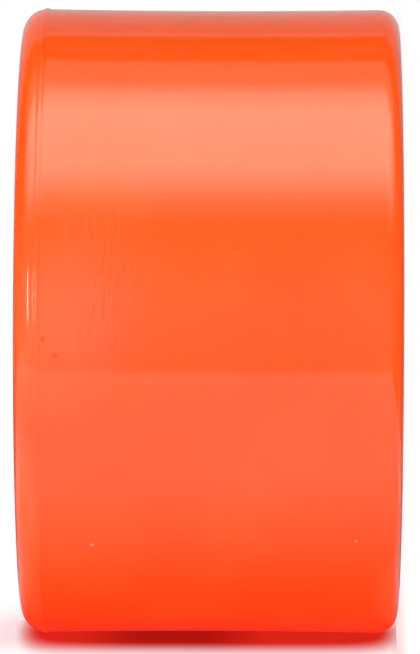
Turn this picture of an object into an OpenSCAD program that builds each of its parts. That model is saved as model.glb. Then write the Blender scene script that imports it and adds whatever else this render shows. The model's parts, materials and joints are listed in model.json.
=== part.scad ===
// Longboard wheel: a urethane tyre cast on a moulded core that carries two sealed ball bearings.
// The axle line is Z, the origin is the wheel's centre, and the outer face is towards +Z.

/* [Tyre] */
// Diameter over the tread's edges
wheel_d = 70; // [62:1:85]
// Width over both side faces
wheel_w = 42; // [38:1:60]
// Radius of the lip at the outer face
outer_lip_r = 2.6; // [1.5:0.1:6]
// Radius of the lip at the inner face
inner_lip_r = 2.2; // [1.5:0.1:6]
// How far the tread dips at its middle
tread_hollow = 0.16; // [0.05:0.01:0.6]
// Height of the mould's parting line on the tread
line_h = 0.13; // [0.05:0.01:0.3]
// Width of the mould's parting line
line_w = 0.5; // [0.3:0.05:1]
// Width of the flat ring on each side face
side_flat_w = 4.2; // [2:0.1:7]
// Rounding between the flat ring and the dished side
side_edge_r = 1.4; // [0.5:0.1:3]
// Bulge of the dished side, from a straight cone
dish_bulge = 1.5; // [0.5:0.1:2.5]

/* [Core] */
// Wall of the barrel outside the bearing seats
barrel_wall = 2.5; // [2:0.1:4]
// Radial width of the pockets between barrel and band
pocket_w = 3.8; // [2.5:0.1:5]
// Wall of the outer band
band_t = 2.2; // [1.6:0.1:3]
// Pockets around the core, on each side
pocket_count = 10; // [6:1:12]
// Spoke width between two pockets, where it is narrowest
spoke_w = 2.4; // [1.5:0.1:4]
// Thickness of the web between the pockets of the two sides
web_t = 3; // [1.5:0.1:6]
// How far the spokes lie below the core's face
spoke_drop = 0.8; // [0:0.1:2]
// Ledge around the pockets, inside the recessed ring
recess_ledge = 0.3; // [0.1:0.05:0.6]
// How far each bearing lies below the core's face
bearing_drop = 0.5; // [0.2:0.1:1.5]
// Chamfer on the core's edges and seat mouths
core_chamfer = 0.4; // [0.2:0.05:0.45]
// Height of the shoulder that stops each bearing
seat_shoulder = 1.5; // [0.8:0.1:2]
// Height of the anchor flange around the band
anchor_h = 3.5; // [2.6:0.1:5]
// Thickness of the anchor flange
anchor_t = 3.4; // [2:0.1:6]
// Diameter of the holes that the urethane fills
anchor_hole_d = 2; // [1:0.1:2.2]
// Holes around the anchor flange
anchor_holes = 20; // [8:1:30]

/* [Bearings] */
// Axle diameter, and the bore of the inner rings
axle_d = 8; // [7.5:0.1:8.4]
// Outer diameter of a bearing
bearing_d = 22; // [21.6:0.1:23]
// Width of a bearing
bearing_w = 7; // [6.8:0.1:8]
// Ball diameter
ball_d = 3.969; // [3.6:0.01:4.1]
// Balls in each bearing
ball_count = 7; // [6:1:7]
// Running clearance between a ball and each race
ball_play = 0.02; // [0.01:0.01:0.05]
// Radius of the race grooves, as a share of the ball's diameter
groove_share = 0.52; // [0.51:0.005:0.53]
// Depth of each race groove
groove_depth = 0.55; // [0.4:0.05:0.7]
// Chamfer on the rings' corners
ring_chamfer = 0.3; // [0.1:0.05:0.5]
// Thickness of a seal
seal_t = 0.5; // [0.3:0.05:0.55]
// How far a seal lies below the ring's face
seal_drop = 0.2; // [0.1:0.05:0.25]
// Width of the bead around a seal's face
seal_bead_w = 1; // [0.6:0.1:1.6]
// Height of the bead above the seal's face
seal_bead_h = 0.12; // [0.05:0.01:0.15]
// Height of the step that a seal sits on
seal_seat_h = 0.65; // [0.5:0.05:0.8]
// Depth of the groove that holds a seal's rim
seal_groove_h = 0.25; // [0.15:0.05:0.4]
// Clearance between a seal's lip and the inner ring
seal_lip_gap = 0.15; // [0.1:0.01:0.3]
// Clearance between a seal's rim and the outer ring
seal_rim_gap = 0.03; // [0.01:0.01:0.08]

/* [Cages] */
// Radial width of a cage
cage_w = 2; // [1.6:0.1:2.1]
// Thickness of the cage's back, behind the balls
cage_back_t = 0.45; // [0.3:0.05:0.5]
// Clearance between a ball and its pocket
cage_play = 0.1; // [0.05:0.01:0.15]
// How far the cage's fingers reach past the balls' centres
finger_h = 1; // [0.7:0.1:1.4]
// Width of the slit between two fingers
slit_w = 0.9; // [0.5:0.1:1.2]

/* [Spacer] */
// Length of the spacer, and the gap between the two bearings
spacer_l = 10; // [8:0.1:12]
// Wall of the spacer
spacer_wall = 1; // [0.7:0.1:1.5]
// Clearance of the spacer around the axle, on its diameter
spacer_play = 0.1; // [0.04:0.02:0.3]
// Chamfer on the spacer's ends
spacer_chamfer = 0.2; // [0.1:0.05:0.3]

/* [Hidden] */
SIDES = ["front", "back"];
BEARING = ["outer_ring", "inner_ring", "cage", "face_seal", "inside_seal"];

$fn = 120;
// Overlap of cutters past a face
past = 1;
wheel_r = wheel_d / 2;
half_w = wheel_w / 2;

ball_r = ball_d / 2;
axle_r = axle_d / 2;
bearing_r = bearing_d / 2;
pitch_r = (axle_r + bearing_r) / 2;
groove_r = ball_d * groove_share;
inner_race_r = pitch_r - ball_r - ball_play;
outer_race_r = pitch_r + ball_r + ball_play;
inner_shoulder_r = inner_race_r + groove_depth;
outer_shoulder_r = outer_race_r - groove_depth;
seal_seat_r = outer_shoulder_r + seal_seat_h;
// Height of a seal's middle above the bearing's middle
seal_z = bearing_w / 2 - seal_drop - seal_t / 2;
bearing_z = spacer_l / 2 + bearing_w / 2;

core_half_w = spacer_l / 2 + bearing_w + bearing_drop;
barrel_r = bearing_r + barrel_wall;
pocket_r = barrel_r + pocket_w / 2;
band_in_r = barrel_r + pocket_w;
core_r = band_in_r + band_t;
anchor_r = core_r + anchor_h;
anchor_hole_r = core_r + anchor_h / 2;
face_z = core_half_w - spoke_drop;

flat_in_r = wheel_r - max(outer_lip_r, inner_lip_r) - side_flat_w;

// Radius of an arc over a chord, from the arc's height
function arc_r(chord, height) = (chord * chord / 4 + height * height) / (2 * height);

// Half the angle that a chord covers on a circle
function half_angle(chord, r) = asin(chord / 2 / r);

// The dish's centre in the half section, and its radius
dish_run = [flat_in_r - core_r, half_w - core_half_w];
dish_chord = norm(dish_run);
dish_r = arc_r(dish_chord, dish_bulge);
dish_back = dish_r - dish_bulge;
dish_mid = [(flat_in_r + core_r) / 2, (half_w + core_half_w) / 2];
dish_c = dish_mid + dish_back * [-dish_run[1], dish_run[0]] / dish_chord;

// The rounding's centre lies one radius under the side face and touches the dish
edge_z = half_w - side_edge_r;
edge_x = dish_c[0] + sqrt(pow(dish_r + side_edge_r, 2) - pow(edge_z - dish_c[1], 2));
edge_c = [edge_x, edge_z];
edge_touch = dish_c + (edge_c - dish_c) * dish_r / (dish_r + side_edge_r);

// Half section of the tyre's outside: tread, two lips and side faces, before the dishes are cut
module tyre_outline() {
    translate([0, -half_w + inner_lip_r])
        square([wheel_r, wheel_w - outer_lip_r - inner_lip_r]);
    lip(outer_lip_r);
    mirror([0, 1]) lip(inner_lip_r);
}

// One lip with the side face that it rounds off
module lip(r) {
    translate([0, half_w - r - past]) square([wheel_r - r, r + past]);
    translate([wheel_r - r, half_w - r]) circle(r);
}

// The shallow hollow along the tread, as one long arc between the lips
module tread_cut() {
    tread_w = wheel_w - outer_lip_r - inner_lip_r;
    tread_mid = (inner_lip_r - outer_lip_r) / 2;
    r = arc_r(tread_w, tread_hollow);
    translate([wheel_r - tread_hollow + r, tread_mid]) circle(r, $fn = 1440);
}

// The thin ridge that the mould leaves where the tread meets the outer lip
module parting_line() {
    r = arc_r(line_w, line_h);
    translate([wheel_r + line_h - r, half_w - outer_lip_r]) circle(r);
}

// Dished side, from the core's band out to the flat ring, with its rounded edge
module side_dish() {
    translate(dish_c) circle(dish_r);
    translate([0, core_half_w]) square([core_r, half_w]);
    translate([0, dish_c[1]]) square([flat_in_r, half_w]);
    difference() {
        polygon([edge_touch, [edge_x, half_w], [edge_x, half_w + past], [core_r, half_w + past]]);
        translate(edge_c) circle(side_edge_r);
    }
}

// Half section of the band and the anchor flange, which the urethane wraps
module core_outside() {
    translate([0, -core_half_w]) square([core_r, 2 * core_half_w]);
    translate([0, -anchor_t / 2]) square([anchor_r, anchor_t]);
}

// One peg of urethane, or the hole it fills, through the anchor flange
module anchor_pegs() {
    for (i = [0:anchor_holes - 1])
        rotate(i * 360 / anchor_holes) translate([anchor_hole_r, 0, 0])
            cylinder(d = anchor_hole_d, h = anchor_t, center = true);
}

module tyre() {
    color("orangered") {
        rotate_extrude() difference() {
            union() {
                difference() {
                    tyre_outline();
                    tread_cut();
                }
                intersection() {
                    parting_line();
                    translate([wheel_r - past, 0]) square([2 * past, half_w]);
                }
            }
            side_dish();
            mirror([0, 1]) side_dish();
            core_outside();
        }
        anchor_pegs();
    }
}

// Half section of one half of the core, with the recessed ring that carries the spokes
module core_half_section() {
    recess_in_r = barrel_r - recess_ledge;
    recess_out_r = band_in_r + recess_ledge;
    difference() {
        translate([bearing_r - seat_shoulder, 0])
            square([core_r - bearing_r + seat_shoulder, core_half_w]);
        translate([0, spacer_l / 2]) square([bearing_r, core_half_w]);
        translate([recess_in_r, face_z]) square([recess_out_r - recess_in_r, core_half_w]);
        chamfer_cut(recess_in_r, 1);
        chamfer_cut(recess_out_r, -1);
        chamfer_cut(bearing_r, -1);
    }
}

// A chamfer on a corner of the core's face, where the material lies inside (1) or outside (-1) radius r
module chamfer_cut(r, way) {
    c = core_chamfer;
    polygon([[r, core_half_w - c], [r + way * past, core_half_w - c],
             [r + way * past, core_half_w + past], [r - way * (c + past), core_half_w + past]]);
}

// Kidney-shaped outline of a pocket, with full round ends
module pocket_outline() {
    r = pocket_w / 2;
    half = 180 / pocket_count - half_angle(spoke_w + pocket_w, pocket_r);
    reach = 2 * core_r;
    intersection() {
        difference() {
            circle(pocket_r + r);
            circle(pocket_r - r);
        }
        polygon([[0, 0], reach * [cos(half), -sin(half)], reach * [cos(half), sin(half)]]);
    }
    for (way = [-1, 1]) rotate(way * half) translate([pocket_r, 0]) circle(r);
}

module core() {
    color("ivory") difference() {
        rotate_extrude() {
            core_half_section();
            mirror([0, 1]) core_half_section();
            translate([core_r - past, -anchor_t / 2]) square([anchor_h + past, anchor_t]);
        }
        for (way = [0, 1]) mirror([0, 0, way]) translate([0, 0, web_t / 2])
            for (i = [0:pocket_count - 1]) rotate(i * 360 / pocket_count)
                linear_extrude(core_half_w) pocket_outline();
        anchor_pegs();
    }
}

module spacer() {
    bore_r = axle_r + spacer_play / 2;
    out_r = bore_r + spacer_wall;
    c = spacer_chamfer;
    z = spacer_l / 2;
    color("silver") rotate_extrude()
        polygon([[bore_r, -z + c], [bore_r + c, -z], [out_r - c, -z], [out_r, -z + c],
                 [out_r, z - c], [out_r - c, z], [bore_r + c, z], [bore_r, z - c]]);
}

// Half section of a ring between two radii, chamfered on its bore or its outside
module ring_section(in_r, out_r, bore_c, out_c) {
    z = bearing_w / 2;
    polygon([[in_r, -z + bore_c], [in_r + bore_c, -z], [out_r - out_c, -z], [out_r, -z + out_c],
             [out_r, z - out_c], [out_r - out_c, z], [in_r + bore_c, z], [in_r, z - bore_c]]);
}

module inner_ring() {
    color("lightgray") rotate_extrude() difference() {
        ring_section(axle_r, inner_shoulder_r, ring_chamfer, 0);
        translate([inner_race_r + groove_r, 0]) circle(groove_r);
    }
}

module outer_ring() {
    step_z = seal_z - seal_t / 2;
    color("lightgray") rotate_extrude() difference() {
        ring_section(outer_shoulder_r, bearing_r, 0, ring_chamfer);
        translate([outer_race_r - groove_r, 0]) circle(groove_r);
        for (way = [0, 1]) mirror([0, way]) {
            translate([0, step_z]) square([seal_seat_r, bearing_w]);
            translate([0, step_z]) square([seal_seat_r + seal_groove_h, seal_t]);
        }
    }
}

// A seal: its rim snaps into the outer ring's groove, and a rounded bead runs round its face
module seal() {
    in_r = inner_shoulder_r + seal_lip_gap;
    rim_r = seal_seat_r + seal_groove_h - seal_rim_gap;
    face_z = seal_t / 2 - seal_rim_gap;
    bead_arc_r = arc_r(seal_bead_w, seal_bead_h);
    color("black") rotate_extrude() {
        translate([in_r, -face_z]) square([rim_r - in_r, 2 * face_z]);
        intersection() {
            translate([(in_r + seal_seat_r) / 2, face_z + seal_bead_h - bead_arc_r]) circle(bead_arc_r);
            translate([in_r, 0]) square([rim_r - in_r, seal_t]);
        }
    }
}

// The seal that shows in the core's face
module face_seal() {
    translate([0, 0, seal_z]) seal();
}

// The seal that faces the spacer
module inside_seal() {
    mirror([0, 0, 1]) face_seal();
}

// Crown cage: a ring with ball pockets, open at the top, and two fingers between each pair of balls
module cage() {
    pocket_r = ball_r + cage_play;
    back_z = -pocket_r - cage_back_t;
    h = finger_h - back_z;
    step = 360 / ball_count;
    color("wheat") difference() {
        rotate_extrude() translate([pitch_r - cage_w / 2, back_z]) square([cage_w, h]);
        for (i = [0:ball_count - 1]) rotate(i * step) {
            translate([pitch_r, 0, 0]) sphere(pocket_r);
            rotate(step / 2) translate([pitch_r, 0, 0]) {
                rotate([0, 90, 0]) cylinder(d = slit_w, h = 2 * cage_w, center = true);
                translate([-cage_w, -slit_w / 2, 0]) cube([2 * cage_w, slit_w, finger_h + past]);
            }
        }
    }
}

module ball(i) {
    color("gainsboro") rotate((i - 1) * 360 / ball_count) translate([pitch_r, 0, 0]) sphere(ball_r);
}

// Moves a bearing's piece to its seat: the front bearing towards +Z, the back one mirrored
module seated(side) {
    mirror([0, 0, side == "back" ? 1 : 0]) translate([0, 0, bearing_z]) children();
}

tyre();
core();
spacer();
for (side = SIDES) {
    seated(side) outer_ring();
    seated(side) inner_ring();
    seated(side) cage();
    seated(side) face_seal();
    seated(side) inside_seal();
    for (i = [1:ball_count])
        seated(side) ball(i);
}
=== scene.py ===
# Looks for the longboard wheel: finishes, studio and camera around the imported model.
# Lengths are metres in the part's frame, and millimetres in materials and in the tyre's section.
# The wheel stands on its inner face here, and on its tread in the photograph, so the camera is rolled:
# +X is up in the picture and +Z is to the left.
import json
import math

import bmesh
import bpy
from mathutils import Matrix, Vector


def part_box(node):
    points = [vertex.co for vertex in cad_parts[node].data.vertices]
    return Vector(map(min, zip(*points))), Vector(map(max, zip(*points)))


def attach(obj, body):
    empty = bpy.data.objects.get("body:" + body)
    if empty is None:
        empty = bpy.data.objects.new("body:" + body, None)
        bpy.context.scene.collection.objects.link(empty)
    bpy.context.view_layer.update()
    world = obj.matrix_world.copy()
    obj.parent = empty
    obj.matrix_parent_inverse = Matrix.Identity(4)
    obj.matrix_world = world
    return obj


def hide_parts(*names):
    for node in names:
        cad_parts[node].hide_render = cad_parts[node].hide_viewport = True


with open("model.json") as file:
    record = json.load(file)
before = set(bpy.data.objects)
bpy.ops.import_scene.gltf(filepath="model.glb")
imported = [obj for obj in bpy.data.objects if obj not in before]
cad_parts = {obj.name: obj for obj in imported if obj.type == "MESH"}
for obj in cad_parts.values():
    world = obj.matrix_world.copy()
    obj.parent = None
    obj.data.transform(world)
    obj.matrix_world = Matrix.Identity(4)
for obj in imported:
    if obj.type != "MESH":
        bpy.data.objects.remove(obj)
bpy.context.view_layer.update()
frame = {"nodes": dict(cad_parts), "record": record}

MM = 0.001

# The tyre's section in millimetres, with the part's own sizes
WHEEL_R = 35
HALF_W = 21
OUTER_LIP_R = 2.6
INNER_LIP_R = 2.2
TREAD_HOLLOW = 0.16
LINE_H = 0.13
LINE_FOOT = 0.5
SIDE_FLAT_W = 4.2
SIDE_EDGE_R = 1.4
DISH_BULGE = 1.5
CORE_R = 19.5
CORE_HALF_W = 12.5
ANCHOR_R = 23
ANCHOR_T = 3.4
ANCHOR_HOLE_D = 2
ANCHOR_HOLES = 20
# How finely the tyre is turned, and the edge angle from which it isn't smoothed
TYRE_SEGMENTS = 360
TREAD_STEPS = 72
RIDGE_STEPS = 24
LIP_STEPS = 22
EDGE_STEPS = 16
DISH_STEPS = 30
PEG_SEGMENTS = 32
SHARP_DEG = 75
# How much longer the pegs are than the flange is thick, so that they reach into the tyre
PEG_OVERLAP = 0.4

# The photograph's frame in pixels, and where the wheel's centre lies in it
PHOTO_W = 420
PHOTO_H = 654
CENTRE_PX = (210.7, 320.9)

# Camera: lens and sensor in millimetres, place, and roll of the wheel's axle line in the picture
LENS_MM = 332.5
SENSOR_MM = 36
CAMERA_AT = Vector((0.012, -0.68, -0.005))
CAMERA_ROLL = math.radians(-0.175)

# Light on matt surfaces, by the height of its direction in degrees: from the front, from above, from
# behind, and the red glow that comes back off the table. Bands are low edge, high edge, softness.
FRONT_LEVEL = 5.3
FRONT_BAND = (-16, 6, 20)
TOP_LEVEL = 0.56
TOP_BAND = (55, 115, 20)
TOP_SIDE = 3.0
BACK_LEVEL = 1.0
BACK_FROM = (126, 156)
LEFT_BIAS = 0.15
SIDE_LIGHT = 0.3
GLOW_LEVEL = 1.9
GLOW_BAND = (-125, -62, 20)
GLOW_SIDE = (0.7, 0.4)
GLOW = (1, 0, 0, 1)
LEAST_LIGHT = 0.01
# Tint of the lamps that gloss shows
WARM = (1, 0.97, 0.84, 1)

# The range that noise mostly fills, the part of it that turns one tone into another, and how much darker
# the bottoms of turned lines are
NOISE_RANGE = (0.3, 0.7)
TONE_RANGE = (0.35, 0.65)
GROOVE_TONE = 0.86

# The urethane's two tones, and its marks on the tread: places are an angle and a height in millimetres
URETHANE = ((0.96, 0.094, 0.008, 1), (0.99, 0.108, 0.012, 1))
# Worn ground where the tread is rougher and scuffed: angle, height, size, share, and what it adds to the
# roughness
WORN = (
    (9, 12, (20, 9, 9), 1.0),
    (37, 11, (9, 9, 7), 0.6),
)
WORN_ROUGH = 0.10
# Noise frequencies along X, Y and Z: streaks and a fine grain that run around the tread
STREAK_STRETCH = (0.14, 0.14, 2.6)
FINE_STRETCH = (0.5, 0.5, 9.0)
# Their shares in the relief, its depth in metres, and the roughness that the grain varies in
STREAK_RELIEF = 0.5
FINE_RELIEF = 0.25
RELIEF_DEPTH = 0.004 * MM
GLOSS_ROUGH = (0.06, 0.10)
# Scuffs: the streaks' values where they set in, their colour, its share, and what they add to the roughness
SCUFF_FROM = (0.52, 0.72)
SCUFF_TINT = (1.0, 0.2, 0.07, 1)
SCUFF_SHARE = 0.22
SCUFF_ROUGH = 0.09
# A paler patch on the tread by the outer lip, a painted reflection of the haze that the scuffed ground
# catches: angle, height, size, share, colour
TREAD_PAINTED_REFLECTION = (1, 18, (13, 13, 12), 0.42, (1.0, 0.18, 0.07, 1))
# Painted light on the lower lips: paler patches for the light that comes off the table. Angle, height and
# size in millimetres, share
LIP_PAINTED_LIGHTS = (
    (-42, 20.4, (17, 17, 2.6), 0.3),
    (-60, 20.4, (8, 12, 2.6), 0.22),
    (-62, -20.2, (9, 12, 2.6), 0.3),
)
LIP_PAINTED_LIGHT_TINT = (1.0, 0.2, 0.06, 1)
LIP_PAINTED_LIGHT_SOFT = 0.55
LIP_PAINTED_LIGHT_R = 34
# Slanting scratches on a small place: where it is, its size and softness, then the lines' run across the
# tread, slant, fineness and threshold, and their share and colour
SCRATCH_AT = (5, 10.8)
SCRATCH_SIZE = (8, 9, 5)
SCRATCH_SOFT = 0.8
SCRATCH_RUN = 0.13
SCRATCH_SLANT = 0.14
SCRATCH_SCALE = 2.9
SCRATCH_FROM = (0.5, 0.64)
SCRATCH_SHARE = 0.75
SCRATCH_TINT = (0.9, 0.075, 0.012, 1)
# Small marks on the tread: their softness, then each one's angle, height and size in millimetres, and colour
SPECK_SOFT = 0.7
SPECKS = (
    (-2.3, 17.7, 0.4, (0.9, 0.08, 0.014, 1)),
    (-5.1, 16.4, 0.5, (0.92, 0.085, 0.016, 1)),
    (-43.2, 12.6, 0.3, (1.0, 0.4, 0.3, 1)),
    (-42.0, -16.0, 0.25, (1.0, 0.32, 0.2, 1)),
    (1.6, -20.2, 0.3, (1.0, 0.4, 0.3, 1)),
)
# Painted shade: the flat side rings and the lips' turn into them are deeper in colour, from these values of
# |z| on, which darkens the outline's rim
SIDE_SHADE_COLOUR = (0.6, 0.085, 0.03, 1)
SIDE_FROM = (20.45, 20.85)
SIDE_SHARE = 0.75

# The floor: reach in metres, share of plain white, radii in millimetres where it fades out, and the
# wheel's faint pink glow on it
FLOOR_REACH = 0.3
FLOOR_WHITE = 0.8
FLOOR_COLOUR = (0.97, 0.97, 0.97, 1)
FLOOR_FADE = (170, 280)
FLOOR_GLOW = 0.2
FLOOR_GLOW_AT = (-37, -14, -21)
FLOOR_GLOW_SIZE = (12, 54, 9)
PINK = (0.92, 0.006, 0.03, 1)
WHITE = (1, 1, 1, 1)

# The white table of the photograph, a card at the tread: its edges in metres, and the clearance that keeps
# the card and the floor off the wheel
TABLE_FRONT = -0.129
TABLE_BACK = 0.6
TABLE_TOP = 0.3
TABLE_DOWN = 0.1
TABLE_GAP = 0.02 * MM
# How brightly gloss sees the table: before the wheel, and dimmer behind and beside it. In millimetres:
# the y where it dims behind, the band of |z| where it dims beside, its share, and the y where it begins
TABLE_NEAR = 1.15
TABLE_DIM = 0.2
DIM_BEHIND = (20, 40)
DIM_BESIDE = (34, 60, 14)
BESIDE_SHARE = 0.6
DIM_START = (-40, -20)
# The painted shade that gloss sees on the table beneath the wheel, deep red from the wheel's glow, and the
# |y| and |z| where it fades
TABLE_RED = (0.9, 0.03, 0.02, 1)
TABLE_RED_Y = (46, 14)
TABLE_RED_Z = (46, 20)
# The pink glow that the camera sees on the table: its share, where it fades along y, and its band of z
TABLE_GLOW = 0.27
TABLE_GLOW_Y = ((54, 6), (-40, -8))
TABLE_GLOW_Z = (17, 25, 6)

# The shade where the wheel touches the table: a narrow tilted strip beside the tread
CONTACT_DEEP = 3.3 * MM
CONTACT_FRONT = 9 * MM
CONTACT_RISE = 1.1 * MM
CONTACT_BACK = 3 * MM
CONTACT_SIDE = 1 * MM
# Its colours around and away from its middle, the z of that middle, and where one turns into the other
SHADE_RED = (0.44, 0.007, 0.004, 1)
SHADE_END = (0.71, 0.018, 0.008, 1)
SHADE_MIDDLE = 4
SHADE_TURN = (3, 12)
# It thins out with the way down and with powers of its share of the half length: power, weight
SHADE_HALF = 21.3
SHADE_POWERS = ((12, 1.3), (2, 0.7))
SHADE_REACH = (2.75, 0.9)
# It turns pink further down and where it is thin
SHADE_PALE_DOWN = (0.6, 2.5)
SHADE_PALE_THIN = (0.5, 0.0)


def new_material(name):
    """A material with an empty node tree."""
    material = bpy.data.materials.new(name)
    material.use_nodes = True
    material.node_tree.nodes.clear()
    return material


def put(tree, kind, inputs=None, **settings):
    """Adds a node. inputs maps a socket's name or index to a value or to another node's output."""
    node = tree.nodes.new(kind)
    for key, value in settings.items():
        setattr(node, key, value)
    for key, value in (inputs or {}).items():
        if isinstance(value, bpy.types.NodeSocket):
            tree.links.new(value, node.inputs[key])
        else:
            node.inputs[key].default_value = value
    return node


def calc(tree, operation, *values, clamp=False):
    """The output of a Math node on up to three values or sockets."""
    node = put(tree, "ShaderNodeMath", dict(enumerate(values)), operation=operation, use_clamp=clamp)
    return node.outputs[0]


def smooth_step(tree, value, low, high):
    """0 below low and 1 above high, with a smooth rise between them. low may be above high."""
    inputs = {"Value": value, "From Min": low, "From Max": high}
    return put(tree, "ShaderNodeMapRange", inputs, interpolation_type="SMOOTHSTEP").outputs[0]


def band(tree, value, low, high, soft):
    """1 between low and high, falling to 0 over soft on either side."""
    rise = smooth_step(tree, value, low - soft / 2, low + soft / 2)
    fall = smooth_step(tree, value, high + soft / 2, high - soft / 2)
    return calc(tree, "MULTIPLY", rise, fall)


def blend_colour(tree, factor, a, b):
    """Mixes two colours, given as values or sockets."""
    node = put(tree, "ShaderNodeMix", {0: factor, 6: a, 7: b}, data_type="RGBA")
    return node.outputs[2]


def part_mm(tree):
    """The place on the part in millimetres, which turns with it."""
    place = put(tree, "ShaderNodeTexCoord").outputs["Object"]
    return put(tree, "ShaderNodeVectorMath", {0: place, "Scale": 1 / MM}, operation="SCALE").outputs[0]


def noise(tree, place, scale, detail=2.0, roughness=0.5, stretch=(1, 1, 1)):
    """A noise value around 0.5. stretch multiplies the frequency along each axis."""
    moved = put(tree, "ShaderNodeVectorMath", {0: place, 1: stretch}, operation="MULTIPLY").outputs[0]
    inputs = {"Vector": moved, "Scale": scale, "Detail": detail, "Roughness": roughness}
    return put(tree, "ShaderNodeTexNoise", inputs).outputs[0]


def spread(tree, value, low, high, to_low, to_high):
    """Maps low..high to to_low..to_high, held inside that range."""
    inputs = {"Value": value, "From Min": low, "From Max": high, "To Min": to_low, "To Max": to_high}
    return put(tree, "ShaderNodeMapRange", inputs).outputs[0]


def axle_radius(tree, place):
    """Distance from the axle line in millimetres."""
    flat = put(tree, "ShaderNodeVectorMath", {0: place, 1: (1, 1, 0)}, operation="MULTIPLY").outputs[0]
    return put(tree, "ShaderNodeVectorMath", {0: flat}, operation="LENGTH").outputs["Value"]


def bump(tree, height, distance):
    """A bump of that distance in metres."""
    inputs = {"Height": height, "Distance": distance, "Strength": 1.0}
    return put(tree, "ShaderNodeBump", inputs).outputs[0]


def end_material(tree, shader):
    """Makes a shader the material's surface."""
    put(tree, "ShaderNodeOutputMaterial", {"Surface": shader})


def surface(tree, inputs):
    """Ends a material in one Principled shader."""
    end_material(tree, put(tree, "ShaderNodeBsdfPrincipled", inputs).outputs[0])


def tread_point(angle_deg, z_mm, r_mm=WHEEL_R):
    """A point on the tread in millimetres. Angle 0 faces the camera, and 90 is the picture's top."""
    a = math.radians(angle_deg)
    return (r_mm * math.sin(a), -r_mm * math.cos(a), z_mm)


def patch(tree, place, centre, size, soft=1.0):
    """1 at a point and 0 past the size given along each axis, in millimetres."""
    away = put(tree, "ShaderNodeVectorMath", {0: place, 1: centre}, operation="SUBTRACT").outputs[0]
    away = put(tree, "ShaderNodeVectorMath", {0: away, 1: size}, operation="DIVIDE").outputs[0]
    away = put(tree, "ShaderNodeVectorMath", {0: away}, operation="LENGTH").outputs["Value"]
    return smooth_step(tree, away, 1.0, 1.0 - soft)


def worn_ground(tree, place):
    """How worn the tread is, from 0 to 1."""
    worn = 0.0
    for angle, height, size, share in WORN:
        spot = patch(tree, place, tread_point(angle, height), size)
        worn = calc(tree, "ADD", worn, calc(tree, "MULTIPLY", spot, share), clamp=True)
    return worn


def scratches(tree, place, across, along):
    """Fine slanting scratches on a small place of the tread, from 0 to 1."""
    slant = put(tree, "ShaderNodeCombineXYZ", {
        0: calc(tree, "MULTIPLY", across, SCRATCH_RUN),
        2: calc(tree, "MULTIPLY_ADD", across, SCRATCH_SLANT, along)}).outputs[0]
    lines = smooth_step(tree, noise(tree, slant, SCRATCH_SCALE, detail=2), *SCRATCH_FROM)
    where = patch(tree, place, tread_point(*SCRATCH_AT), SCRATCH_SIZE, SCRATCH_SOFT)
    return calc(tree, "MULTIPLY", lines, where)


def urethane_colour(tree, place, scuff):
    """The urethane's colour: two soft tones, with scuffs, scratches and specks, a painted reflection on the
    tread, painted light on the lower lips, and painted shade that deepens the sides.
    """
    def tinted(colour, mask, share, tint):
        return blend_colour(tree, calc(tree, "MULTIPLY", mask, share), colour, tint)

    cloud = noise(tree, place, 0.06, detail=3)
    colour = blend_colour(tree, spread(tree, cloud, *TONE_RANGE, 0, 1), *URETHANE)
    colour = tinted(colour, scuff, SCUFF_SHARE, SCUFF_TINT)
    # Painted reflection: a paler patch on the scuffed ground by the outer lip
    angle, height, size, share, tint = TREAD_PAINTED_REFLECTION
    colour = tinted(colour, patch(tree, place, tread_point(angle, height), size), share, tint)
    # Painted light: paler patches on the lower lips, for the light that comes off the table
    for angle, height, size, share in LIP_PAINTED_LIGHTS:
        pale = patch(tree, place, tread_point(angle, height, LIP_PAINTED_LIGHT_R), size, LIP_PAINTED_LIGHT_SOFT)
        colour = tinted(colour, pale, share, LIP_PAINTED_LIGHT_TINT)
    x, _, z = put(tree, "ShaderNodeSeparateXYZ", {0: place}).outputs
    colour = tinted(colour, scratches(tree, place, x, z), SCRATCH_SHARE, SCRATCH_TINT)
    # Painted shade: deeper colour on the flat side rings and the lips' turn into them
    side = smooth_step(tree, calc(tree, "ABSOLUTE", z), *SIDE_FROM)
    colour = tinted(colour, side, SIDE_SHARE, SIDE_SHADE_COLOUR)
    for angle, height, size, tint in SPECKS:
        speck = patch(tree, place, tread_point(angle, height), (size, size, size), SPECK_SOFT)
        colour = blend_colour(tree, speck, colour, tint)
    return colour


def urethane():
    """Cast polyurethane: glossy, saturated orange that lets light a few millimetres in."""
    material = new_material("urethane")
    tree = material.node_tree
    place = part_mm(tree)
    streak = noise(tree, place, 1.0, detail=3, stretch=STREAK_STRETCH)
    fine = noise(tree, place, 1.0, detail=4, stretch=FINE_STRETCH)
    worn = worn_ground(tree, place)
    scuff = calc(tree, "MULTIPLY", smooth_step(tree, streak, *SCUFF_FROM), worn)
    rough = calc(tree, "ADD", spread(tree, fine, *NOISE_RANGE, *GLOSS_ROUGH),
                 calc(tree, "MULTIPLY", worn, WORN_ROUGH))
    rough = calc(tree, "ADD", rough, calc(tree, "MULTIPLY", scuff, SCUFF_ROUGH))
    relief = calc(tree, "ADD", calc(tree, "MULTIPLY", streak, STREAK_RELIEF),
                  calc(tree, "MULTIPLY", fine, FINE_RELIEF))
    surface(tree, {
        "Base Color": urethane_colour(tree, place, scuff), "Roughness": rough, "IOR": 1.5,
        "Subsurface Weight": 0.5, "Subsurface Radius": (1.0, 0.28, 0.08), "Subsurface Scale": 0.004,
        "Normal": bump(tree, relief, RELIEF_DEPTH)})
    return material


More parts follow.
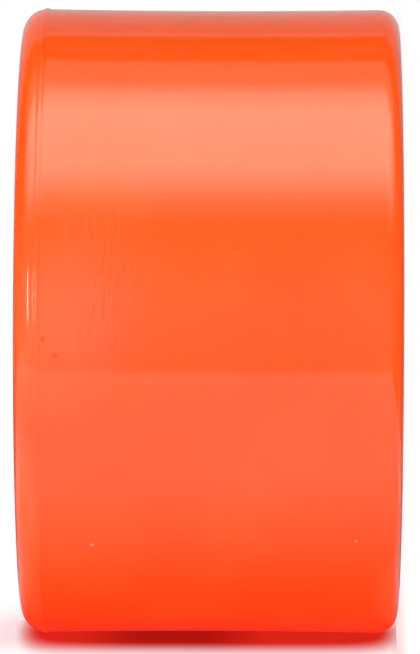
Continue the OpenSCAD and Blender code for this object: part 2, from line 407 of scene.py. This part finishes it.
def moulded(name, light, dark, roughness, grain):
    """Moulded nylon: satin, with a fine grain and faint flow marks."""
    material = new_material(name)
    tree = material.node_tree
    place = part_mm(tree)
    flow = noise(tree, place, 0.25, detail=3)
    fine = noise(tree, place, grain, detail=3)
    rough = spread(tree, fine, *NOISE_RANGE, roughness - 0.06, roughness + 0.08)
    surface(tree, {
        "Base Color": blend_colour(tree, spread(tree, flow, *TONE_RANGE, 0, 1), light, dark),
        "Roughness": rough, "IOR": 1.53,
        "Subsurface Weight": 0.15, "Subsurface Radius": (1.0, 0.9, 0.7), "Subsurface Scale": 0.0015,
        "Normal": bump(tree, fine, 0.01 * MM)})
    return material


def turned(name, colour, roughness, pitch, depth):
    """Metal with fine lines around the axle line, left by turning or grinding."""
    material = new_material(name)
    tree = material.node_tree
    place = part_mm(tree)
    radius = axle_radius(tree, place)
    split = put(tree, "ShaderNodeSeparateXYZ", {0: place})
    lines_at = put(tree, "ShaderNodeCombineXYZ", {0: radius, 1: split.outputs["Z"], 2: 0.0}).outputs[0]
    lines = noise(tree, lines_at, pitch, detail=4, roughness=0.7)
    smudge = noise(tree, place, 0.5, detail=2)
    rough = calc(tree, "ADD", spread(tree, lines, *NOISE_RANGE, roughness - 0.05, roughness + 0.07),
                 spread(tree, smudge, 0.4, 0.7, 0.0, 0.08))
    dim = tuple(GROOVE_TONE * c for c in colour)
    surface(tree, {
        "Base Color": blend_colour(tree, spread(tree, lines, *TONE_RANGE, 0, 1), (*dim, 1), (*colour, 1)),
        "Metallic": 1.0, "Roughness": rough,
        "Normal": bump(tree, lines, depth * MM)})
    return material


def polished_steel():
    """Lapped ball steel."""
    material = new_material("ball")
    tree = material.node_tree
    haze = noise(tree, part_mm(tree), 1.2, detail=3)
    surface(tree, {
        "Base Color": blend_colour(tree, haze, (0.60, 0.61, 0.63, 1), (0.68, 0.69, 0.70, 1)),
        "Metallic": 1.0, "Roughness": spread(tree, haze, *NOISE_RANGE, 0.04, 0.12)})
    return material


def seal_rubber():
    """Black nitrile rubber with faint moulding rings and a trace of grease."""
    material = new_material("seal")
    tree = material.node_tree
    place = part_mm(tree)
    rings = noise(tree, put(tree, "ShaderNodeCombineXYZ", {0: axle_radius(tree, place)}).outputs[0],
                  7.0, detail=2)
    dust = noise(tree, place, 2.5, detail=4, roughness=0.65)
    surface(tree, {
        "Base Color": blend_colour(tree, spread(tree, dust, 0.45, 0.75, 0, 1),
                                   (0.012, 0.012, 0.013, 1), (0.05, 0.048, 0.045, 1)),
        "Roughness": spread(tree, dust, *NOISE_RANGE, 0.38, 0.6), "IOR": 1.52,
        "Normal": bump(tree, rings, 0.02 * MM)})
    return material


def arc_radius(chord, height):
    """Radius of an arc over a chord, from the arc's height."""
    return (chord * chord / 4 + height * height) / (2 * height)


def arc_points(centre, radius, start_deg, end_deg, count):
    """Points along an arc in the half section, ends included."""
    points = []
    for i in range(count + 1):
        a = math.radians(start_deg + (end_deg - start_deg) * i / count)
        points.append((centre[0] + radius * math.cos(a), centre[1] + radius * math.sin(a)))
    return points


def angle_of(centre, point):
    """Direction from centre to point in degrees."""
    return math.degrees(math.atan2(point[1] - centre[1], point[0] - centre[0]))


def tread_points():
    """Half section of the tread from the inner lip to the outer lip, with the parting line's ridge."""
    low = -HALF_W + INNER_LIP_R
    high = HALF_W - OUTER_LIP_R
    radius = arc_radius(high - low, TREAD_HOLLOW)
    centre = (WHEEL_R - TREAD_HOLLOW + radius, (low + high) / 2)
    half = math.degrees(math.asin((high - low) / 2 / radius))
    points = arc_points(centre, radius, 180 + half, 180 - half, TREAD_STEPS)
    return [p for p in points if p[1] < high - LINE_FOOT] + ridge_points(centre, radius, high)


def ridge_points(centre, radius, high):
    """The parting line's ridge where tread and lip meet, run out softly into both."""
    points = []
    for i in range(RIDGE_STEPS + 1):
        off = LINE_FOOT * (2 * i / RIDGE_STEPS - 1)
        tread = centre[0] - math.sqrt(radius ** 2 - (high + off - centre[1]) ** 2)
        lip = WHEEL_R - OUTER_LIP_R + math.sqrt(OUTER_LIP_R ** 2 - off ** 2)
        rise = LINE_H * (1 + math.cos(math.pi * off / LINE_FOOT)) / 2
        points.append(((lip if off > 0 else tread) + rise, high + off))
    return points


def lip_points(lip_r, start_deg):
    """Half section of one lip, its flat ring, rounded edge and dish, on the +Z side."""
    lip_c = (WHEEL_R - lip_r, HALF_W - lip_r)
    points = arc_points(lip_c, lip_r, start_deg, 90, LIP_STEPS)
    flat_in = WHEEL_R - max(OUTER_LIP_R, INNER_LIP_R) - SIDE_FLAT_W
    run = Vector((flat_in - CORE_R, HALF_W - CORE_HALF_W))
    dish_r = arc_radius(run.length, DISH_BULGE)
    middle = Vector(((flat_in + CORE_R) / 2, (HALF_W + CORE_HALF_W) / 2))
    dish_c = middle + (dish_r - DISH_BULGE) * Vector((-run.y, run.x)) / run.length
    edge_z = HALF_W - SIDE_EDGE_R
    edge_x = dish_c.x + math.sqrt((dish_r + SIDE_EDGE_R) ** 2 - (edge_z - dish_c.y) ** 2)
    edge_c = (edge_x, edge_z)
    inward = angle_of(edge_c, dish_c)
    points += arc_points(edge_c, SIDE_EDGE_R, 90, inward % 360, EDGE_STEPS)
    touch = angle_of(dish_c, edge_c)
    foot = angle_of(dish_c, (CORE_R, CORE_HALF_W))
    points += arc_points(dish_c, dish_r, touch, foot, DISH_STEPS)[1:]
    return points


def tyre_section():
    """The tyre's closed half section in millimetres, anticlockwise from the inner lip."""
    outer = lip_points(OUTER_LIP_R, math.degrees(math.asin(LINE_FOOT / OUTER_LIP_R)))
    inner = [(r, -z) for r, z in reversed(lip_points(INNER_LIP_R, 0))]
    flange = [(CORE_R, ANCHOR_T / 2), (ANCHOR_R, ANCHOR_T / 2),
              (ANCHOR_R, -ANCHOR_T / 2), (CORE_R, -ANCHOR_T / 2)]
    return inner + tread_points()[1:] + outer[1:] + flange


def revolve(mesh, section, segments):
    """Fills a mesh with a closed half section in millimetres, turned around the axle line."""
    count = len(section)
    points = []
    for step in range(segments):
        a = math.tau * step / segments
        points += [(r * MM * math.cos(a), r * MM * math.sin(a), z * MM) for r, z in section]
    faces = []
    for step in range(segments):
        here = step * count
        there = (step + 1) % segments * count
        for i in range(count):
            j = (i + 1) % count
            faces.append((here + i, there + i, there + j, here + j))
    mesh.from_pydata(points, [], faces)


def add_object(name, data):
    """Puts a mesh or a camera into the scene as an object."""
    made = bpy.data.objects.new(name, data)
    bpy.context.scene.collection.objects.link(made)
    return made


def make_pegs():
    """The pegs of urethane that fill the core's anchor flange, a little longer than the flange is thick."""
    mesh = bpy.data.meshes.new("pegs")
    build = bmesh.new()
    radius = ANCHOR_HOLE_D / 2 * MM
    for i in range(ANCHOR_HOLES):
        a = math.tau * i / ANCHOR_HOLES
        at = Vector((math.cos(a), math.sin(a), 0)) * (CORE_R + ANCHOR_R) / 2 * MM
        bmesh.ops.create_cone(build, cap_ends=True, segments=PEG_SEGMENTS, radius1=radius, radius2=radius,
                              depth=(ANCHOR_T + PEG_OVERLAP) * MM, matrix=Matrix.Translation(at))
    build.to_mesh(mesh)
    build.free()
    return add_object("pegs", mesh)


def join_pegs(tyre):
    """Unites the tyre's mesh with its pegs."""
    pegs = make_pegs()
    join = tyre.modifiers.new("pegs", "BOOLEAN")
    join.operation = "UNION"
    join.solver = "MANIFOLD"
    join.object = pegs
    bpy.context.view_layer.update()
    depsgraph = bpy.context.evaluated_depsgraph_get()
    joined = bpy.data.meshes.new_from_object(tyre.evaluated_get(depsgraph))
    tyre.modifiers.clear()
    tyre.data = joined
    bpy.data.objects.remove(pegs)
    return joined


def cast_tyre(material):
    """The tyre as one smooth revolved casting, with the pegs that fill the core's anchor flange."""
    mesh = bpy.data.meshes.new("cast_tyre")
    revolve(mesh, tyre_section(), TYRE_SEGMENTS)
    tyre = add_object("cast_tyre", mesh)
    joined = join_pegs(tyre)
    for face in joined.polygons:
        face.use_smooth = True
    joined.set_sharp_from_angle(angle=math.radians(SHARP_DEG))
    joined.materials.clear()
    joined.materials.append(material)
    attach(tyre, "wheel")
    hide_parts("tyre")


def dress():
    """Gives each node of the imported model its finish."""
    finishes = {
        "urethane": urethane(),
        "core": moulded("core", (0.84, 0.82, 0.74, 1), (0.78, 0.755, 0.67, 1), 0.38, 3.0),
        "cage": moulded("cage", (0.74, 0.64, 0.43, 1), (0.68, 0.58, 0.38, 1), 0.42, 4.0),
        "spacer": turned("spacer", (0.86, 0.86, 0.87), 0.28, 9.0, 0.004),
        "steel": turned("steel", (0.64, 0.64, 0.65), 0.2, 14.0, 0.002),
        "seal": seal_rubber(),
        "ball": polished_steel(),
    }
    for entry in frame["record"]["subparts"]:
        node = frame["nodes"][entry["node"]]
        node.data.materials.clear()
        node.data.materials.append(finishes[entry["material_slot"]])
    cast_tyre(finishes["urethane"])


def make_camera():
    """The photograph's view: the wheel's centre falls on its pixel, with no shift."""
    data = bpy.data.cameras.new("camera")
    data.lens = LENS_MM
    data.sensor_width = SENSOR_MM
    data.clip_start = 0.01
    data.clip_end = 20
    camera = add_object("camera", data)
    focal_px = LENS_MM / SENSOR_MM * PHOTO_H
    seen = Vector(((CENTRE_PX[0] - PHOTO_W / 2) / focal_px, (PHOTO_H / 2 - CENTRE_PX[1]) / focal_px, -1))
    # A camera square on to the tread, which looks along +Y with +X up and +Z to the left
    square = Matrix(((0, 1, 0), (0, 0, -1), (-1, 0, 0)))
    to_centre = -CAMERA_AT
    aim = (square @ seen).rotation_difference(to_centre).to_matrix()
    roll = Matrix.Rotation(CAMERA_ROLL, 3, to_centre)
    camera.matrix_world = Matrix.Translation(CAMERA_AT) @ (roll @ aim @ square).to_4x4()
    bpy.context.scene.camera = camera


# What gloss shows. Each lamp has a level and shares by direction: what a share reads, the helper that
# shapes it, and that helper's numbers. height is 0 at the front and 90 above, side is towards +Z, and
# away is the angle from +Y, all in degrees; x and y are the direction's own.
WARM_LAMPS = {
    "softbox": (4.7, ("height", smooth_step, 36, 63), ("height", smooth_step, 101, 82),
                ("side", band, -43, 43, 43)),
    "wall": (1.0, ("height", band, 90, 112, 2.5), ("side", band, -45, 45, 10),
             ("height", spread, 90, 112, 1.0, 0.5)),
    "window": (19.0, ("height", band, 1, 22, 8), ("side", band, 41.5, 45.5, 2)),
    "slit": (8.0, ("height", band, 1, 20, 8), ("side", band, 15.5, 17, 1)),
    "shelf": (0.37, ("height", band, 22, 42.8, 1.0), ("height", spread, 34, 42, 0.45, 1.0)),
}
COOL_LAMPS = {
    "backdrop": (1.0, ("away", smooth_step, 50, 48.5), ("away", spread, 20, 44, 0.5, 0.25)),
    "backdrop_rim": (0.15, ("away", band, 45.5, 48.5, 1)),
    "front": (0.36, ("height", band, -60, 20, 18), ("side", band, -50, 50, 20)),
    "haze": (1.35, ("height", band, 2, 34, 26), ("side", smooth_step, 0.8, 2.2),
             ("side", smooth_step, 14, 8)),
    "below_behind": (0.55, ("x", smooth_step, -0.1, -0.3), ("y", smooth_step, 0.0, 0.2)),
}


def height_of(tree, x, y):
    """A direction's height in degrees: 0 towards the front (-Y), 90 towards +X, 180 behind."""
    return calc(tree, "DEGREES", calc(tree, "ARCTAN2", x, calc(tree, "MULTIPLY", y, -1.0)))


def lamps_light(tree, lamps, reads, light):
    """Adds the lamps to a light, each by its shares of the direction."""
    for level, *shares in lamps.values():
        for read, shape, *numbers in shares:
            level = calc(tree, "MULTIPLY", shape(tree, reads[read], *numbers), level)
        light = calc(tree, "ADD", light, level)
    return light


def studio_light(tree, way):
    """The studio that gloss shows, as light and the warm share of it, by direction."""
    x, y, z = put(tree, "ShaderNodeSeparateXYZ", {0: way}).outputs
    reads = {
        "x": x, "y": y, "height": height_of(tree, x, y),
        "side": calc(tree, "DEGREES", calc(tree, "ARCSINE", z)),
        "away": calc(tree, "DEGREES", calc(tree, "ARCCOSINE", y)),
    }
    warm = lamps_light(tree, WARM_LAMPS, reads, 0.0)
    light = lamps_light(tree, COOL_LAMPS, reads, calc(tree, "ADD", LEAST_LIGHT, warm))
    return light, calc(tree, "DIVIDE", warm, light)


def matt_light(tree, way):
    """The soft light on matt surfaces, and the share of it that is the wheel's own glow off the table."""
    x, y, z = put(tree, "ShaderNodeSeparateXYZ", {0: way}).outputs
    height = height_of(tree, x, y)
    side = calc(tree, "ABSOLUTE", z)
    front = calc(tree, "MULTIPLY", band(tree, height, *FRONT_BAND), FRONT_LEVEL)
    top = calc(tree, "MULTIPLY", band(tree, height, *TOP_BAND), TOP_LEVEL)
    top = calc(tree, "MULTIPLY", top, calc(tree, "MULTIPLY_ADD", side, TOP_SIDE, 1.0))
    behind = smooth_step(tree, calc(tree, "ABSOLUTE", height), *BACK_FROM)
    light = calc(tree, "ADD", calc(tree, "ADD", front, top), calc(tree, "MULTIPLY", behind, BACK_LEVEL))
    lean = calc(tree, "MULTIPLY_ADD", z, LEFT_BIAS, 1.0)
    light = calc(tree, "MULTIPLY", light, calc(tree, "MULTIPLY_ADD", side, SIDE_LIGHT, lean))
    glow = calc(tree, "MULTIPLY", band(tree, height, *GLOW_BAND), smooth_step(tree, side, *GLOW_SIDE))
    glow = calc(tree, "MULTIPLY", glow, GLOW_LEVEL)
    light = calc(tree, "ADD", calc(tree, "ADD", light, glow), LEAST_LIGHT)
    return light, calc(tree, "DIVIDE", glow, light)


def studio():
    """White to the camera, soft light to matt surfaces, and a studio for gloss to show."""
    world = bpy.data.worlds.new("studio")
    bpy.context.scene.world = world
    world.use_nodes = True
    world.cycles.sampling_method = "NONE"
    tree = world.node_tree
    tree.nodes.clear()
    way = put(tree, "ShaderNodeTexCoord").outputs["Generated"]
    paths = put(tree, "ShaderNodeLightPath").outputs
    light, warm = studio_light(tree, way)
    matt, glow = matt_light(tree, way)
    colour = blend_colour(tree, warm, WHITE, WARM)
    matt_colour = blend_colour(tree, glow, WHITE, GLOW)
    colour = blend_colour(tree, paths["Is Diffuse Ray"], colour, matt_colour)
    colour = blend_colour(tree, paths["Is Camera Ray"], colour, WHITE)
    level = spread(tree, paths["Is Diffuse Ray"], 0, 1, light, matt)
    level = spread(tree, paths["Is Camera Ray"], 0, 1, level, 1.0)
    background = put(tree, "ShaderNodeBackground", {"Color": colour, "Strength": level})
    put(tree, "ShaderNodeOutputWorld", {"Surface": background.outputs[0]})


def seen_rays(tree):
    """1 where the camera, a reflection or a transmitted ray sees the surface, and 0 for matt light."""
    paths = put(tree, "ShaderNodeLightPath").outputs
    seen = calc(tree, "MAXIMUM", paths["Is Camera Ray"], paths["Is Glossy Ray"])
    return calc(tree, "MAXIMUM", seen, paths["Is Transmission Ray"])


def backfacing(tree):
    """1 on the back of a stage piece, which shows from its face alone."""
    return put(tree, "ShaderNodeNewGeometry").outputs["Backfacing"]


def mix_shaders(tree, share, a, b):
    """Shader a turned into shader b by a share."""
    return put(tree, "ShaderNodeMixShader", {0: share, 1: a, 2: b}).outputs[0]


def emission(tree, colour, strength=1.0):
    """A plain glowing shader."""
    return put(tree, "ShaderNodeEmission", {"Color": colour, "Strength": strength}).outputs[0]


def see_through(tree):
    """A shader that lets everything through."""
    return put(tree, "ShaderNodeBsdfTransparent").outputs[0]


def floor_material():
    """Pale floor with a share of plain white, which fades out far from the wheel."""
    material = new_material("floor")
    tree = material.node_tree
    place = part_mm(tree)
    glow = calc(tree, "MULTIPLY", patch(tree, place, FLOOR_GLOW_AT, FLOOR_GLOW_SIZE), FLOOR_GLOW)
    matt = put(tree, "ShaderNodeBsdfDiffuse", {
        "Color": blend_colour(tree, glow, FLOOR_COLOUR, PINK)}).outputs[0]
    white = emission(tree, blend_colour(tree, glow, WHITE, PINK))
    lit = mix_shaders(tree, calc(tree, "MULTIPLY", seen_rays(tree), FLOOR_WHITE), matt, white)
    away = calc(tree, "MAXIMUM", smooth_step(tree, axle_radius(tree, place), *FLOOR_FADE), backfacing(tree))
    result = mix_shaders(tree, away, lit, see_through(tree))
    end_material(tree, result)
    return material


def table_gloss(tree, y, side):
    """The table as reflections see it: white, with painted red shade beneath the wheel, dimmer behind and
    beside it.
    """
    red = calc(tree, "MULTIPLY", smooth_step(tree, calc(tree, "ABSOLUTE", y), *TABLE_RED_Y),
               smooth_step(tree, side, *TABLE_RED_Z))
    beside = calc(tree, "MULTIPLY", band(tree, side, *DIM_BESIDE), smooth_step(tree, y, *DIM_START))
    beside = calc(tree, "MULTIPLY", beside, BESIDE_SHARE)
    dim = calc(tree, "MAXIMUM", smooth_step(tree, y, *DIM_BEHIND), beside)
    return emission(tree, blend_colour(tree, red, WHITE, TABLE_RED),
                    spread(tree, dim, 0, 1, TABLE_NEAR, TABLE_DIM))


def table_material():
    """White table as reflections see it. The camera sees only the wheel's pink glow on it."""
    material = new_material("table")
    tree = material.node_tree
    _, y, z = put(tree, "ShaderNodeSeparateXYZ", {0: part_mm(tree)}).outputs
    glow = band(tree, z, *TABLE_GLOW_Z)
    for fade in TABLE_GLOW_Y:
        glow = calc(tree, "MULTIPLY", glow, smooth_step(tree, y, *fade))
    clear = see_through(tree)
    seen = mix_shaders(tree, calc(tree, "MULTIPLY", glow, TABLE_GLOW), clear, emission(tree, PINK))
    camera = put(tree, "ShaderNodeLightPath").outputs["Is Camera Ray"]
    result = mix_shaders(tree, camera, table_gloss(tree, y, calc(tree, "ABSOLUTE", z)), seen)
    result = mix_shaders(tree, backfacing(tree), result, clear)
    end_material(tree, result)
    return material


def contact_shade(tree, down, z):
    """How deep the shade is at the table: it thins out downwards and towards its ends."""
    half = calc(tree, "DIVIDE", calc(tree, "ABSOLUTE", z), SHADE_HALF)
    ends = 0.0
    for power, weight in SHADE_POWERS:
        part = calc(tree, "MULTIPLY", calc(tree, "POWER", half, power), weight)
        ends = calc(tree, "ADD", ends, part)
    reach = calc(tree, "SQRT", calc(tree, "ADD", calc(tree, "MULTIPLY", down, down),
                                    calc(tree, "MULTIPLY", ends, ends)))
    return smooth_step(tree, reach, *SHADE_REACH)


def contact_material(table_x):
    """The red shade where the wheel touches the table, which turns pink as it thins out."""
    material = new_material("contact")
    tree = material.node_tree
    x, _, z = put(tree, "ShaderNodeSeparateXYZ", {0: part_mm(tree)}).outputs
    down = calc(tree, "SUBTRACT", table_x / MM, x)
    shade = contact_shade(tree, down, z)
    pale = calc(tree, "MAXIMUM", smooth_step(tree, down, *SHADE_PALE_DOWN),
                smooth_step(tree, shade, *SHADE_PALE_THIN))
    off_middle = calc(tree, "ABSOLUTE", calc(tree, "SUBTRACT", z, SHADE_MIDDLE))
    deep = blend_colour(tree, smooth_step(tree, off_middle, *SHADE_TURN), SHADE_RED, SHADE_END)
    shown = calc(tree, "MULTIPLY", shade, calc(tree, "SUBTRACT", 1.0, backfacing(tree)))
    red = emission(tree, blend_colour(tree, pale, deep, PINK))
    result = mix_shaders(tree, shown, see_through(tree), red)
    end_material(tree, result)
    return material


def make_plane(name, corners, material):
    """A flat stage piece through four corners, listed anticlockwise as seen from its face."""
    mesh = bpy.data.meshes.new(name)
    mesh.from_pydata(corners, [], [(0, 1, 2, 3)])
    mesh.materials.append(material)
    plane = add_object(name, mesh)
    return plane


def make_floor(z):
    """The floor under the wheel's inner face."""
    r = FLOOR_REACH
    floor = make_plane("floor", [(-r, -r, z), (r, -r, z), (r, r, z), (-r, r, z)], floor_material())
    floor.visible_glossy = False
    floor.visible_diffuse = False


def make_table(x):
    """The photograph's table, a card at the tread."""
    corners = [(x, TABLE_FRONT, -TABLE_DOWN), (x, TABLE_BACK, -TABLE_DOWN),
               (x, TABLE_BACK, TABLE_TOP), (x, TABLE_FRONT, TABLE_TOP)]
    table = make_plane("table", corners, table_material())
    table.visible_diffuse = False


def make_contact(table_x, low_z, high_z):
    """The strip that holds the shade between wheel and table, tilted back into the tread."""
    end = table_x - CONTACT_DEEP
    start = table_x + CONTACT_RISE
    corners = [(end, -CONTACT_FRONT, low_z), (start, CONTACT_BACK, low_z),
               (start, CONTACT_BACK, high_z), (end, -CONTACT_FRONT, high_z)]
    strip = make_plane("contact", corners, contact_material(table_x))
    strip.visible_diffuse = False
    strip.visible_glossy = False


def make_stage():
    """The floor, the table and the shade between wheel and table."""
    low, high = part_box("tyre")
    floor_z = low.z - TABLE_GAP
    table_x = low.x - TABLE_GAP
    make_floor(floor_z)
    make_table(table_x)
    make_contact(table_x, floor_z, high.z + CONTACT_SIDE)


bpy.context.scene.view_settings.view_transform = "Standard"
make_camera()
studio()
make_stage()
dress()
